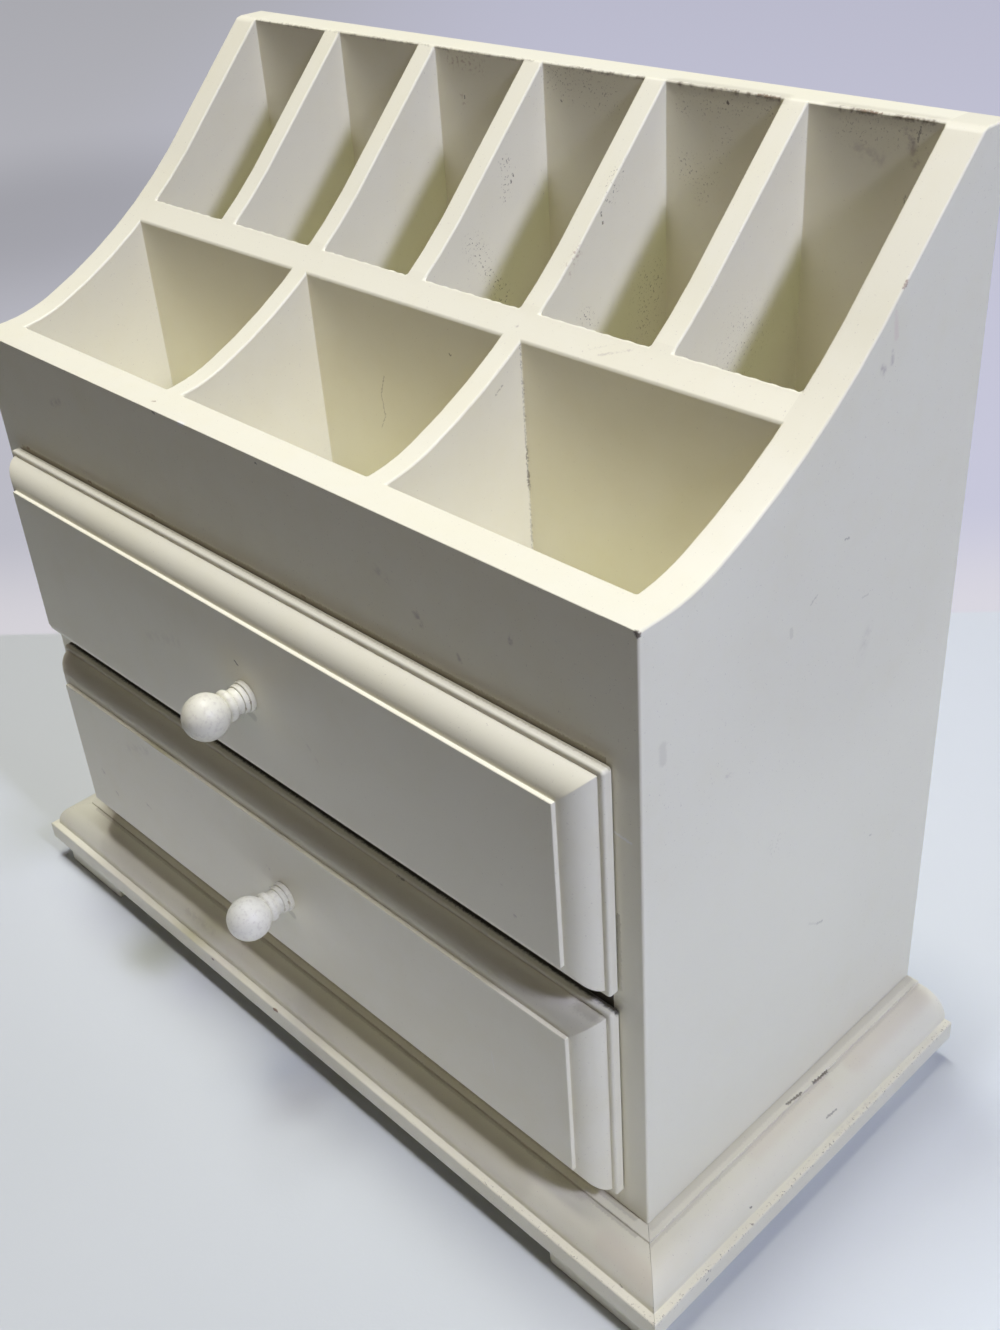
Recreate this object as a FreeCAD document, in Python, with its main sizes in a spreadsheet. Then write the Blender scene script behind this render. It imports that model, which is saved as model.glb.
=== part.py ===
import FreeCAD, Part
import math
import os
import re

import Sketcher

# Vanity organizer: a painted board cabinet with an open stepped tray over two drawers.
# Cabinet coordinates: x = 0 in the middle, y = 0 on the cabinet's front face (drawers pull
# towards -Y), z = 0 on the surface that it stands on. Millimetres.

SIZES = {
    # cabinet boards
    "cabinet_width": 330,
    "cabinet_depth": 149.5,
    "side_board": 12,
    "back_board": 12,
    "bottom_board": 12,
    "shelf_board": 12,
    "opening_height": 78,
    "upper_opening_height": 68,
    # stepped tray over the drawers
    "tray_floor_board": 6,
    "tray_front_board": 13,
    "tray_front_height": 57.4,
    "tray_rear_height": 144.6,
    "divider_board": 8.5,
    "front_cell_depth": 57.2,
    # scooped outline of the sides and dividers
    "toe_flat": 7.5,
    "toe_depth": 30.9,
    "toe_radius": 63,
    "slope_run": 32.2,
    "crest_radius": 5,
    # base frame and feet
    "base_board": 21.5,
    "base_board_width": 45,
    "base_projection": 20,
    "base_fillet": 4.5,
    "base_fillet_drop": 0.9,
    "base_ovolo_radius": 10.3,
    "base_ledge": 3,
    "base_nose_radius": 3,
    "foot_height": 8.5,
    "foot_length": 41,
    "foot_width": 35,
    "foot_inset_front": 2.5,
    "foot_inset_side": 8.5,
    "foot_inset_rear": 6,
    # drawer fronts
    "drawer_overlay": 2.4,
    "closing_gap": 0.4,
    "front_board": 12,
    "front_margin": 11.2,
    "front_corner_radius": 3,
    "lip_depth": 3.6,
    "lip_round": 0.9,
    "lip_step": 2,
    "field_step": 2.3,
    # drawer boxes
    "drawer_board": 8.5,
    "drawer_bottom_board": 4,
    "drawer_bottom_rise": 6,
    "groove_depth": 4,
    "groove_clearance": 0.1,
    "drawer_side_clearance": 1,
    "drawer_runner_clearance": 0.3,
    "drawer_top_clearance": 2.2,
    "drawer_rear_clearance": 6,
    # turned knob and its screw
    "knob_length": 24.7,
    "ball_radius": 8.2,
    "rosette_radius": 5.8,
    "rosette_depth": 2.1,
    "ring_radius": 5.2,
    "ring_depth": 4,
    "neck_radius": 4.8,
    "neck_depth": 7,
    "neck_hollow_radius": 2.2,
    "bead_depth": 9.6,
    "bead_radius": 1.5,
    "screw_radius": 2,
    "screw_thread_clearance": 0.05,
    "screw_hole_clearance": 0.25,
    "screw_grip": 10,
    "screw_head_radius": 4,
    "screw_head_height": 2.4,
    "knob_bore_depth": 12,
}

REAR_CELLS = 6
FRONT_CELLS = 3

doc = FreeCAD.newDocument("vanity_organizer")
sheet = doc.addObject("Spreadsheet::Sheet", "Sizes")
for row, (alias, value) in enumerate(SIZES.items(), start=1):
    sheet.set(f"A{row}", alias)
    sheet.set(f"B{row}", str(value))
    sheet.setAlias(f"B{row}", alias)
doc.recompute()


# ---- helpers ---------------------------------------------------------------------------

def formula(text):
    """A formula whose size names refer to the sheet."""
    return re.sub(r"[a-z][a-z_]+", lambda word: f"Sizes.{word[0]}" if word[0] in SIZES else word[0], text)


def number(text):
    """The present value of a formula."""
    return float(sheet.evalExpression(formula(text)))


def bind(thing, **formulas):
    for name, text in formulas.items():
        thing.setExpression(name, formula(text))


# The origin is midway between the knobs' tips and the cabinet's back.
MIDDLE_Y = "(cabinet_depth - closing_gap - front_board - knob_length) / 2"


def place(thing, x="0", y="0", z="0"):
    """Put a piece at a point given in cabinet coordinates."""
    thing.setExpression("Placement.Base.x", formula(x))
    thing.setExpression("Placement.Base.y", formula(f"({y}) - {MIDDLE_Y}"))
    thing.setExpression("Placement.Base.z", formula(z))


pieces = {}


def keep(name, thing):
    """Name a finished piece: its label is its file's name."""
    thing.Label = name
    pieces[name] = thing
    return thing


def box(name, x, y, z):
    """A square-edged board between the low and high formulas of each axis."""
    blank = doc.addObject("Part::Box", name)
    bind(blank, Length=f"({x[1]}) - ({x[0]})", Width=f"({y[1]}) - ({y[0]})", Height=f"({z[1]}) - ({z[0]})")
    place(blank, x[0], y[0], z[0])
    return blank


def rod(name, radius, length, y, z):
    """A round bar along +Y from the point (0, y, z)."""
    bar = doc.addObject("Part::Cylinder", name)
    bar.Placement = FreeCAD.Placement(FreeCAD.Vector(), FreeCAD.Rotation(FreeCAD.Vector(1, 0, 0), -90))
    bind(bar, Radius=radius, Height=length)
    place(bar, "0", y, z)
    return bar


def combine(kind, name, base, tool):
    """A boolean of two pieces: kind is Cut, Common or Fuse."""
    result = doc.addObject(f"Part::{kind}", name)
    result.Base = base
    result.Tool = tool
    return result


def mirror(name, source):
    """The left-hand copy of a right-hand piece."""
    copy = doc.addObject("Part::Mirroring", name)
    copy.Source = source
    copy.Normal = FreeCAD.Vector(1, 0, 0)
    return keep(name, copy)


def new_sketch(body, name, plane):
    sketch = body.newObject("Sketcher::SketchObject", name)
    support = [item for item in body.Origin.OriginFeatures if item.Role == plane][0]
    sketch.AttachmentSupport = [(support, "")]
    sketch.MapMode = "FlatFace"
    return sketch


def arc_middle(start, end, radius, turn):
    """A point half way along the short arc from start to end; turn is 1 anticlockwise, -1 clockwise."""
    chord = end - start
    half = chord.Length / 2
    across = FreeCAD.Vector(chord.y, -chord.x, 0).normalize() * turn
    return (start + end) / 2 + across * (radius - (radius ** 2 - half ** 2) ** 0.5)


def outline(sketch, corners, bends={}):
    """A closed outline through corners, each a pair of formulas. bends maps the number of an
    edge, counted from the corner that it leaves, to its (radius formula, turn)."""
    points = [FreeCAD.Vector(number(u), number(v), 0) for u, v in corners]
    edges = []
    for index, start in enumerate(points):
        end = points[(index + 1) % len(points)]
        if index in bends:
            radius, turn = bends[index]
            middle = arc_middle(start, end, number(radius), turn)
            # A sketch counts an arc's ends anticlockwise.
            first, last = (1, 2) if turn > 0 else (2, 1)
            ends = {first: start, last: end}
            edge = sketch.addGeometry(Part.Arc(ends[1], middle, ends[2]))
            constraint = sketch.addConstraint(Sketcher.Constraint("Radius", edge, number(radius)))
            bind(sketch, **{f"Constraints[{constraint}]": radius})
        else:
            first, last = 1, 2
            edge = sketch.addGeometry(Part.LineSegment(start, end))
        edges.append((edge, first, last))
    for index, (edge, first, last) in enumerate(edges):
        following, following_first, _ = edges[(index + 1) % len(edges)]
        sketch.addConstraint(Sketcher.Constraint("Coincident", edge, last, following, following_first))
        for direction, text in zip(("DistanceX", "DistanceY"), corners[index]):
            constraint = sketch.addConstraint(Sketcher.Constraint(direction, edge, first, number(text)))
            bind(sketch, **{f"Constraints[{constraint}]": text})


def pad(body, name, sketch, length, **settings):
    feature = body.newObject("PartDesign::Pad", name)
    feature.Profile = sketch
    bind(feature, Length=length)
    for setting, value in settings.items():
        setattr(feature, setting, value)
    return feature


def pocket_through(body, name, sketch):
    """Cut a sketch right through a body, both ways from the sketch's plane."""
    feature = body.newObject("PartDesign::Pocket", name)
    feature.Profile = sketch
    feature.Type = "ThroughAll"
    feature.Midplane = True
    return feature


# ---- levels and walls that the pieces share ---------------------------------------------

HALF_WIDTH = "cabinet_width / 2"
INNER_HALF = "(cabinet_width / 2 - side_board)"
BACK_FACE = "(cabinet_depth - back_board)"
BASE_TOP = "(foot_height + base_board)"
BOTTOM_TOP = f"({BASE_TOP} + bottom_board)"
SHELF_LOW = f"({BOTTOM_TOP} + opening_height)"
SHELF_TOP = f"({SHELF_LOW} + shelf_board)"
TRAY_LOW = f"({SHELF_TOP} + upper_opening_height)"
TRAY_TOP = f"({TRAY_LOW} + tray_floor_board)"
FRONT_TOP = f"({TRAY_LOW} + tray_front_height)"
REAR_TOP = f"({TRAY_LOW} + tray_rear_height)"
ROW_FRONT = "(tray_front_board + front_cell_depth)"
ROW_BACK = f"({ROW_FRONT} + divider_board)"
INSIDE_X = (f"-{INNER_HALF}", INNER_HALF)


# ---- scooped outline of the sides and dividers -------------------------------------------

def scooped_body(name, width):
    """A slab with the cabinet's side outline: upright front edge, level toe, two tangent
    hollow arcs, a straight slope, a rounded crest and a level top over the back board. The
    wide arc's radius and the slope's angle follow from the sizes round them."""
    body = doc.addObject("PartDesign::Body", name)
    sketch = new_sketch(body, f"{name}_outline", "YZ_Plane")
    base, front, rear = number(BASE_TOP), number(FRONT_TOP), number(REAR_TOP)
    depth, crest = number("cabinet_depth"), number(BACK_FACE)
    toe, bend, slope_run = number("toe_flat"), number("toe_depth"), number("slope_run")
    toe_radius, crest_radius = number("toe_radius"), number("crest_radius")

    def point(y, z):
        return FreeCAD.Vector(y, z, 0)

    # A near enough start for the slope and its arcs; the constraints below settle them.
    toe_angle = math.asin((bend - toe) / toe_radius)
    rise = front + toe_radius * (1 - math.cos(toe_angle))
    slope_angle = 1.25 * math.atan2(rear - rise, crest - bend)
    slope_low = point(crest - slope_run, rear - slope_run * math.tan(slope_angle))
    slope_high = point(crest - crest_radius * math.sin(slope_angle),
                       rear - crest_radius * (1 - math.cos(slope_angle)))
    toe_end = point(bend, rise)
    scoop_radius = (slope_low - toe_end).Length / 2 / math.sin((slope_angle - toe_angle) / 2)
    run = [point(0, base), point(0, front), point(toe, front), toe_end, slope_low,
           slope_high, point(crest, rear), point(depth, rear), point(depth, base)]
    front_edge, toe_edge, toe_arc, scoop_arc, slope, crest_arc, top_edge, rear_edge, foot_edge = range(9)
    arcs = {toe_arc: (toe_radius, 1), scoop_arc: (scoop_radius, 1), crest_arc: (crest_radius, -1)}
    for index, start in enumerate(run):
        end = run[(index + 1) % len(run)]
        if index in arcs:
            sketch.addGeometry(Part.Arc(start, arc_middle(start, end, *arcs[index]), end))
        else:
            sketch.addGeometry(Part.LineSegment(start, end))

    def join(kind, first, first_end, second, second_end):
        sketch.addConstraint(Sketcher.Constraint(kind, first, first_end, second, second_end))

    join("Coincident", front_edge, 2, toe_edge, 1)
    join("Tangent", toe_edge, 2, toe_arc, 1)
    join("Tangent", toe_arc, 2, scoop_arc, 1)
    join("Tangent", scoop_arc, 2, slope, 1)
    join("Tangent", slope, 2, crest_arc, 2)
    join("Tangent", crest_arc, 1, top_edge, 1)
    join("Coincident", top_edge, 2, rear_edge, 1)
    join("Coincident", rear_edge, 2, foot_edge, 1)
    join("Coincident", foot_edge, 2, front_edge, 1)
    for edge in (front_edge, rear_edge):
        sketch.addConstraint(Sketcher.Constraint("Vertical", edge))
    for edge in (toe_edge, top_edge, foot_edge):
        sketch.addConstraint(Sketcher.Constraint("Horizontal", edge))
    dimensions = (
        ("DistanceX", front_edge, 1, "0 * cabinet_depth"),
        ("DistanceY", front_edge, 1, BASE_TOP),
        ("DistanceY", front_edge, 2, FRONT_TOP),
        ("DistanceX", toe_edge, 2, "toe_flat"),
        ("DistanceX", toe_arc, 2, "toe_depth"),
        ("DistanceX", slope, 1, f"{BACK_FACE} - slope_run"),
        ("DistanceX", top_edge, 1, BACK_FACE),
        ("DistanceX", top_edge, 2, "cabinet_depth"),
        ("DistanceY", top_edge, 2, REAR_TOP),
    )
    for direction, edge, end, text in dimensions:
        constraint = sketch.addConstraint(Sketcher.Constraint(direction, edge, end, number(text)))
        bind(sketch, **{f"Constraints[{constraint}]": text})
    for edge, radius in ((toe_arc, "toe_radius"), (crest_arc, "crest_radius")):
        constraint = sketch.addConstraint(Sketcher.Constraint("Radius", edge, number(radius)))
        bind(sketch, **{f"Constraints[{constraint}]": radius})
    pad(body, f"{name}_pad", sketch, width, Midplane=True)
    return body


side_right = keep("side_panel_right", scooped_body("side_panel_right", "side_board"))
place(side_right, x="cabinet_width / 2 - side_board / 2")
side_left = keep("side_panel_left", scooped_body("side_panel_left", "side_board"))
place(side_left, x="side_board / 2 - cabinet_width / 2")

# The tray's inner walls are cut to the same outline as the sides.
tray_space = scooped_body("tray_space", f"2 * {INNER_HALF}")
place(tray_space)


def scooped_board(name, x, y):
    """An upright tray board from the tray floor up to the scooped outline."""
    blank = box(f"{name}_blank", x, y, (TRAY_TOP, REAR_TOP))
    return keep(name, combine("Common", name, blank, tray_space))


# ---- carcass -----------------------------------------------------------------------------

keep("bottom_panel", box("bottom_panel", INSIDE_X, ("0", BACK_FACE), (BASE_TOP, BOTTOM_TOP)))
keep("middle_shelf", box("middle_shelf", INSIDE_X, ("0", BACK_FACE), (SHELF_LOW, SHELF_TOP)))
keep("back_panel", box("back_panel", INSIDE_X, (BACK_FACE, "cabinet_depth"), (BASE_TOP, REAR_TOP)))
keep("tray_floor", box("tray_floor", INSIDE_X, ("tray_front_board", BACK_FACE), (TRAY_LOW, TRAY_TOP)))
keep("tray_front_panel", box("tray_front_panel", INSIDE_X, ("0", "tray_front_board"), (TRAY_LOW, FRONT_TOP)))

# ---- tray dividers -----------------------------------------------------------------------

scooped_board("row_divider", INSIDE_X, (ROW_FRONT, ROW_BACK))


def dividers(prefix, cells, y):
    """Equal compartments across the tray, with a divider between each two."""
    cell = f"((2 * {INNER_HALF} - {cells - 1} * divider_board) / {cells})"
    for index in range(1, cells):
        low = f"{index} * {cell} + {index - 1} * divider_board - {INNER_HALF}"
        scooped_board(f"{prefix}_divider_{index}", (low, f"{low} + divider_board"), y)


dividers("front", FRONT_CELLS, ("tray_front_board", ROW_FRONT))
dividers("rear", REAR_CELLS, (ROW_BACK, BACK_FACE))

# ---- base frame: three moulded boards, mitred at the front corners -------------------------

BASE_HALF = "(cabinet_width / 2 + base_projection)"
MITRE_END = "(base_board_width - base_projection)"
OVOLO_TOP = f"({BASE_TOP} - base_fillet_drop)"
LEDGE = f"({OVOLO_TOP} - base_ovolo_radius)"


def base_profile(sketch, face, outward):
    """The board's section: a narrow fillet beside the cabinet, a quarter round, a ledge and a
    nose rounded underneath. face is the cabinet face's coordinate, outward is 1 or -1."""
    def at(projection, level):
        return (f"({face}) + {outward} * ({projection})", level)

    corners = [
        at(f"-{MITRE_END}", "foot_height"),
        at(f"-{MITRE_END}", BASE_TOP),
        at("base_fillet", BASE_TOP),
        at("base_fillet", OVOLO_TOP),
        at("base_projection - base_ledge - base_ovolo_radius", OVOLO_TOP),
        at("base_projection - base_ledge", LEDGE),
        at("base_projection", LEDGE),
        at("base_projection", "foot_height + base_nose_radius"),
        at("base_projection - base_nose_radius", "foot_height"),
    ]
    outline(sketch, corners, {4: ("base_ovolo_radius", -outward), 7: ("base_nose_radius", -outward)})


front_base = doc.addObject("PartDesign::Body", "base_board_front")
profile = new_sketch(front_base, "base_front_profile", "YZ_Plane")
base_profile(profile, "0", -1)
pad(front_base, "base_front_pad", profile, f"2 * {BASE_HALF}", Midplane=True)
mitres = new_sketch(front_base, "base_front_mitres", "XY_Plane")
for side in (1, -1):
    outline(mitres, [
        (f"{side} * {BASE_HALF}", "-base_projection"),
        (f"{side} * {BASE_HALF}", MITRE_END),
        (f"{side} * ({BASE_HALF} - base_board_width)", MITRE_END),
    ])
doc.recompute()
pocket_through(front_base, "base_front_mitre_cut", mitres)
place(keep("base_board_front", front_base))

# The side boards run back from the mitre to end square, level with the cabinet's back.
BASE_RUN = "(cabinet_depth + base_projection)"
right_base = doc.addObject("PartDesign::Body", "base_board_right")
profile = new_sketch(right_base, "base_side_profile", "XZ_Plane")
base_profile(profile, HALF_WIDTH, 1)
pad(right_base, "base_side_pad", profile, BASE_RUN)
mitre = new_sketch(right_base, "base_side_mitre", "XY_Plane")
outline(mitre, [
    (BASE_HALF, f"-{BASE_RUN}"),
    (f"{BASE_HALF} - base_board_width", f"base_board_width - {BASE_RUN}"),
    (f"{BASE_HALF} - base_board_width", f"-{BASE_RUN}"),
])
doc.recompute()
pocket_through(right_base, "base_side_mitre_cut", mitre)
place(keep("base_board_right", right_base), y="cabinet_depth")
mirror("base_board_left", right_base)

# ---- feet --------------------------------------------------------------------------------

FOOT_X = {
    "left": (f"foot_inset_side - {BASE_HALF}", f"foot_inset_side + foot_length - {BASE_HALF}"),
    "right": (f"{BASE_HALF} - foot_inset_side - foot_length", f"{BASE_HALF} - foot_inset_side"),
}
FOOT_Y = {
    "front": ("foot_inset_front - base_projection", "foot_inset_front + foot_width - base_projection"),
    "rear": ("cabinet_depth - foot_inset_rear - foot_width", "cabinet_depth - foot_inset_rear"),
}
for end, foot_y in FOOT_Y.items():
    for side, foot_x in FOOT_X.items():
        name = f"foot_{end}_{side}"
        keep(name, box(name, foot_x, foot_y, ("0", "foot_height")))

# ---- drawer fronts -----------------------------------------------------------------------

FRONT_HALF_X = f"({INNER_HALF} + drawer_overlay)"
FRONT_HALF_Z = "(opening_height / 2 + drawer_overlay)"
OVOLO_WIDTH = "(front_margin - lip_step)"
OVOLO_HEIGHT = "(front_board - field_step - lip_depth)"
# The ovolo meets its upper fillet square and its lower one at a slant.
FRONT_OVOLO_RADIUS = f"(({OVOLO_WIDTH} ^ 2 + {OVOLO_HEIGHT} ^ 2) / (2 * {OVOLO_HEIGHT}))"
SPARE = "front_board"


def moulded_edge(sketch, half, sign, across):
    """The waste outside one moulded edge: across is True where the edge's direction is the
    sketch's first axis. The section steps down from the field to the ovolo and the lip."""
    def at(margin, depth):
        pair = (f"{sign} * ({half} - ({margin}))", f"-({depth})")
        return pair if across else pair[::-1]

    corners = [
        at("front_margin", f"front_board + {SPARE}"),
        at("front_margin", "front_board - field_step"),
        at("lip_step", "lip_depth"),
        at("lip_round", "lip_depth"),
        at("0", "lip_depth - lip_round"),
        at(f"-{SPARE}", "lip_depth - lip_round"),
        at(f"-{SPARE}", f"front_board + {SPARE}"),
    ]
    turn = sign if across else -sign
    outline(sketch, corners, {1: (FRONT_OVOLO_RADIUS, turn), 3: ("lip_round", turn)})


def rounded_rectangle(sketch, half_u, half_v, radius):
    corners = []
    for u, v, first in ((1, -1, "u"), (1, 1, "v"), (-1, 1, "u"), (-1, -1, "v")):
        near_u = (f"{u} * ({half_u} - {radius})", f"{v} * {half_v}")
        near_v = (f"{u} * {half_u}", f"{v} * ({half_v} - {radius})")
        corners += [near_u, near_v] if first == "u" else [near_v, near_u]
    outline(sketch, corners, {index: (radius, 1) for index in (0, 2, 4, 6)})


def drawer_front(name, y, z):
    """One overlay front with a moulded edge all round and a screw hole in its middle."""
    body = doc.addObject("PartDesign::Body", name)
    blank = new_sketch(body, f"{name}_blank", "XZ_Plane")
    rounded_rectangle(blank, FRONT_HALF_X, FRONT_HALF_Z, "front_corner_radius")
    pad(body, f"{name}_pad", blank, "front_board")
    ends = new_sketch(body, f"{name}_end_moulding", "XY_Plane")
    rails = new_sketch(body, f"{name}_rail_moulding", "YZ_Plane")
    for sign in (1, -1):
        moulded_edge(ends, FRONT_HALF_X, sign, True)
        moulded_edge(rails, FRONT_HALF_Z, sign, False)
    hole = new_sketch(body, f"{name}_hole", "XZ_Plane")
    circle = hole.addGeometry(Part.Circle(FreeCAD.Vector(), FreeCAD.Vector(0, 0, 1), number("screw_radius")))
    hole.addConstraint(Sketcher.Constraint("Coincident", circle, 3, -1, 1))
    constraint = hole.addConstraint(Sketcher.Constraint("Radius", circle, number("screw_radius")))
    bind(hole, **{f"Constraints[{constraint}]": "screw_radius + screw_hole_clearance"})
    doc.recompute()
    for step, sketch in (("end_cut", ends), ("rail_cut", rails), ("hole_cut", hole)):
        pocket_through(body, f"{name}_{step}", sketch)
    place(keep(name, body), y=y, z=z)


# ---- drawer boxes ------------------------------------------------------------------------

BOX_HALF = f"({INNER_HALF} - drawer_side_clearance)"
BOX_INNER = f"({BOX_HALF} - drawer_board)"
BOX_REAR = f"({BACK_FACE} - drawer_rear_clearance)"
FRONT_BACK = "-closing_gap"
SUB_FRONT_BACK = "(drawer_board - closing_gap)"


def drawer_box(prefix, opening_low):
    """Four grooved walls with a thin bottom let into them; the back stands on the bottom."""
    low = f"({opening_low} + drawer_runner_clearance)"
    top = f"({opening_low} + upper_opening_height - drawer_top_clearance)"
    groove_low = f"({low} + drawer_bottom_rise)"
    bottom_low = f"({groove_low} + groove_clearance)"
    bottom_top = f"({bottom_low} + drawer_bottom_board)"
    groove_z = (groove_low, f"{bottom_top} + groove_clearance")
    middle = f"({opening_low} + opening_height / 2)"

    name = f"{prefix}_side_right"
    blank = box(f"{name}_blank", (BOX_INNER, BOX_HALF), (FRONT_BACK, BOX_REAR), (low, top))
    groove = box(f"{name}_groove", (f"{BOX_INNER} - groove_depth", f"{BOX_INNER} + groove_depth"),
                 (f"{FRONT_BACK} - drawer_board", f"{BOX_REAR} + drawer_board"), groove_z)
    side = keep(name, combine("Cut", name, blank, groove))
    mirror(f"{prefix}_side_left", side)

    name = f"{prefix}_sub_front"
    blank = box(f"{name}_blank", (f"-{BOX_INNER}", BOX_INNER), (FRONT_BACK, SUB_FRONT_BACK), (low, top))
    groove = box(f"{name}_groove", (f"-{BOX_HALF}", BOX_HALF),
                 (f"{SUB_FRONT_BACK} - groove_depth", f"{SUB_FRONT_BACK} + groove_depth"), groove_z)
    hole = rod(f"{name}_hole", "screw_radius + screw_hole_clearance", "3 * drawer_board",
               "-drawer_board", middle)
    keep(name, combine("Cut", name, combine("Cut", f"{name}_grooved", blank, groove), hole))

    name = f"{prefix}_back"
    keep(name, box(name, (f"-{BOX_INNER}", BOX_INNER), (f"{BOX_REAR} - drawer_board", BOX_REAR),
                   (bottom_top, top)))
    name = f"{prefix}_bottom"
    reach = f"({BOX_INNER} + groove_depth - groove_clearance)"
    keep(name, box(name, (f"-{reach}", reach), (f"{SUB_FRONT_BACK} - groove_depth + groove_clearance", BOX_REAR),
                   (bottom_low, bottom_top)))


# ---- knobs -------------------------------------------------------------------------------

BALL_CENTRE = "(knob_length - ball_radius)"
BALL_NECK = f"sqrt(ball_radius ^ 2 - ({BALL_CENTRE} - bead_depth) ^ 2)"


def knob(name, y, z):
    """A turned knob: two flat rings on the drawer's face, a hollow neck, a bead and a ball.
    It screws on from inside the drawer."""
    body = doc.addObject("PartDesign::Body", name)
    sketch = new_sketch(body, f"{name}_half_profile", "XY_Plane")
    bore = "(screw_radius + screw_thread_clearance)"
    corners = [
        (bore, "0 * knob_length"),
        ("rosette_radius", "0 * knob_length"),
        ("rosette_radius", "-rosette_depth"),
        ("ring_radius", "-rosette_depth"),
        ("ring_radius", "-ring_depth"),
        ("neck_radius", "-ring_depth"),
        ("neck_radius", "-neck_depth"),
        (BALL_NECK, "-bead_depth"),
        ("ball_radius", f"-{BALL_CENTRE}"),
        ("0 * ball_radius", "-knob_length"),
        ("0 * ball_radius", "-knob_bore_depth"),
        (bore, "-knob_bore_depth"),
    ]
    outline(sketch, corners, {5: ("neck_hollow_radius", 1), 6: ("bead_radius", -1),
                              7: ("ball_radius", -1), 8: ("ball_radius", -1)})
    turning = body.newObject("PartDesign::Revolution", f"{name}_turning")
    turning.Profile = sketch
    turning.ReferenceAxis = (sketch, ["V_Axis"])
    turning.Angle = 360
    place(keep(name, body), y=y, z=z)


def knob_screw(name, z):
    """A pan-head machine screw through the sub-front and the front into the knob."""
    shank = rod(f"{name}_shank", "screw_radius", "drawer_board + front_board + screw_grip",
                "-closing_gap - front_board - screw_grip", z)
    head = rod(f"{name}_head", "screw_head_radius", "screw_head_height", SUB_FRONT_BACK, z)
    keep(name, combine("Fuse", name, shank, head))


for drawer, opening_low in (("lower_drawer", BOTTOM_TOP), ("upper_drawer", SHELF_TOP)):
    middle = f"({opening_low} + opening_height / 2)"
    drawer_front(f"{drawer}_front", FRONT_BACK, middle)
    drawer_box(drawer, opening_low)
    knob(f"{drawer}_knob", f"{FRONT_BACK} - front_board", middle)
    knob_screw(f"{drawer}_knob_screw", middle)

# ---- check and write ----------------------------------------------------------------------

doc.recompute()
for thing in doc.Objects:
    faults = {"Invalid", "Error"} & set(thing.State)
    if faults:
        raise RuntimeError(f"{thing.Label} is {faults}")
for name, piece in pieces.items():
    shape = piece.Shape
    if shape.isNull() or not shape.isValid() or len(shape.Solids) != 1:
        raise RuntimeError(f"{name} is not one valid solid")

os.makedirs("parts", exist_ok=True)
for name, piece in pieces.items():
    piece.Shape.exportStep(f"parts/{name}.step")
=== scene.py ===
import math
import random

import bmesh
import bpy
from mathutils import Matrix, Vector


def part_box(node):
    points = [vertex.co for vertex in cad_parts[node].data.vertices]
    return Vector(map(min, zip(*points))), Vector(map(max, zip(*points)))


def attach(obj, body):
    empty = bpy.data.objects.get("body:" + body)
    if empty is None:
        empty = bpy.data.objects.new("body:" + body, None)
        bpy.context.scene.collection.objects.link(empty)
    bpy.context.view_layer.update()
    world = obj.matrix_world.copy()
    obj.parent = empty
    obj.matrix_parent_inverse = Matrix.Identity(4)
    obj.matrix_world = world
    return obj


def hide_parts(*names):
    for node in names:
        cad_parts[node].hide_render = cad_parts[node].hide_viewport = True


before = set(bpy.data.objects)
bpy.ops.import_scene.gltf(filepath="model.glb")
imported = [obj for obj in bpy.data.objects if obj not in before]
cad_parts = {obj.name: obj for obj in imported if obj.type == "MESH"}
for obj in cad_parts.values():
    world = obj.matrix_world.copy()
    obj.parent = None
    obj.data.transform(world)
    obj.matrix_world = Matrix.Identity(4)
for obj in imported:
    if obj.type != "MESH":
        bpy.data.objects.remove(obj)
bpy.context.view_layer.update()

MM = 0.001


# ---- the case ----------------------------------------------------------------------------
# Sides, back, shelf, bottom and the stepped tray's boards: softwood and thin ply, glued and
# pinned, then filled and brushed with cream enamel as one body, so the paint runs over every
# joint, rounds each edge a little and leaves a small fillet in the corners of the tray.

SIDE_OUT, SIDE_IN = 165.0, 153.0
FACE_Y, BACK_IN, BACK_OUT = -56.2, 81.3, 93.3
CASE_BOTTOM, TRAY_BOTTOM, TRAY_FLOOR = 30.0, 200.0, 206.0
RIM_Z, CREST_FOOT, CREST_Z = 257.4, 340.0, 344.6
BAYS = ((42.0, 120.0), (132.0, TRAY_BOTTOM))
FRONT_BOARD_IN, ROW_FRONT, ROW_BACK = -43.2, 14.0, 22.5
DIVIDER = 8.5
# The side boards' front outline: a flat toe, then two bends as (radius, turn in degrees).
TOE_FLAT, TOE_BEND, SCOOP_BEND = 7.5, (63, 21.8), (208.26, 24.95)
# Cuts reach this far past the case: in front of the bays, over it, and all round it.
CLEAR, OVER, AROUND_CASE = 20.0, 400, 200
# Widths of the paint's round edges, of its fillets, of its thin fillets against the row divider
# and the back, and of the bevel at the crest.
PAINT_ROUND, PAINT_FILLET, THIN_FILLET, CREST_RUN = 0.8, 1.5, 0.4, 2.16


def walk(point, heading, bends):
    """Points along bends to the left, each (radius, turn in degrees), 4 degrees or less apart."""
    points = [Vector(point)]
    for radius, turn in bends:
        bend = math.radians(turn)
        pieces = math.ceil(turn / 4)
        centre = points[-1] + radius * Vector((-math.sin(heading), math.cos(heading)))
        for step in range(1, pieces + 1):
            angle = heading + bend * step / pieces
            points.append(centre + radius * Vector((math.sin(angle), -math.cos(angle))))
        heading += bend
    return points


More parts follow.
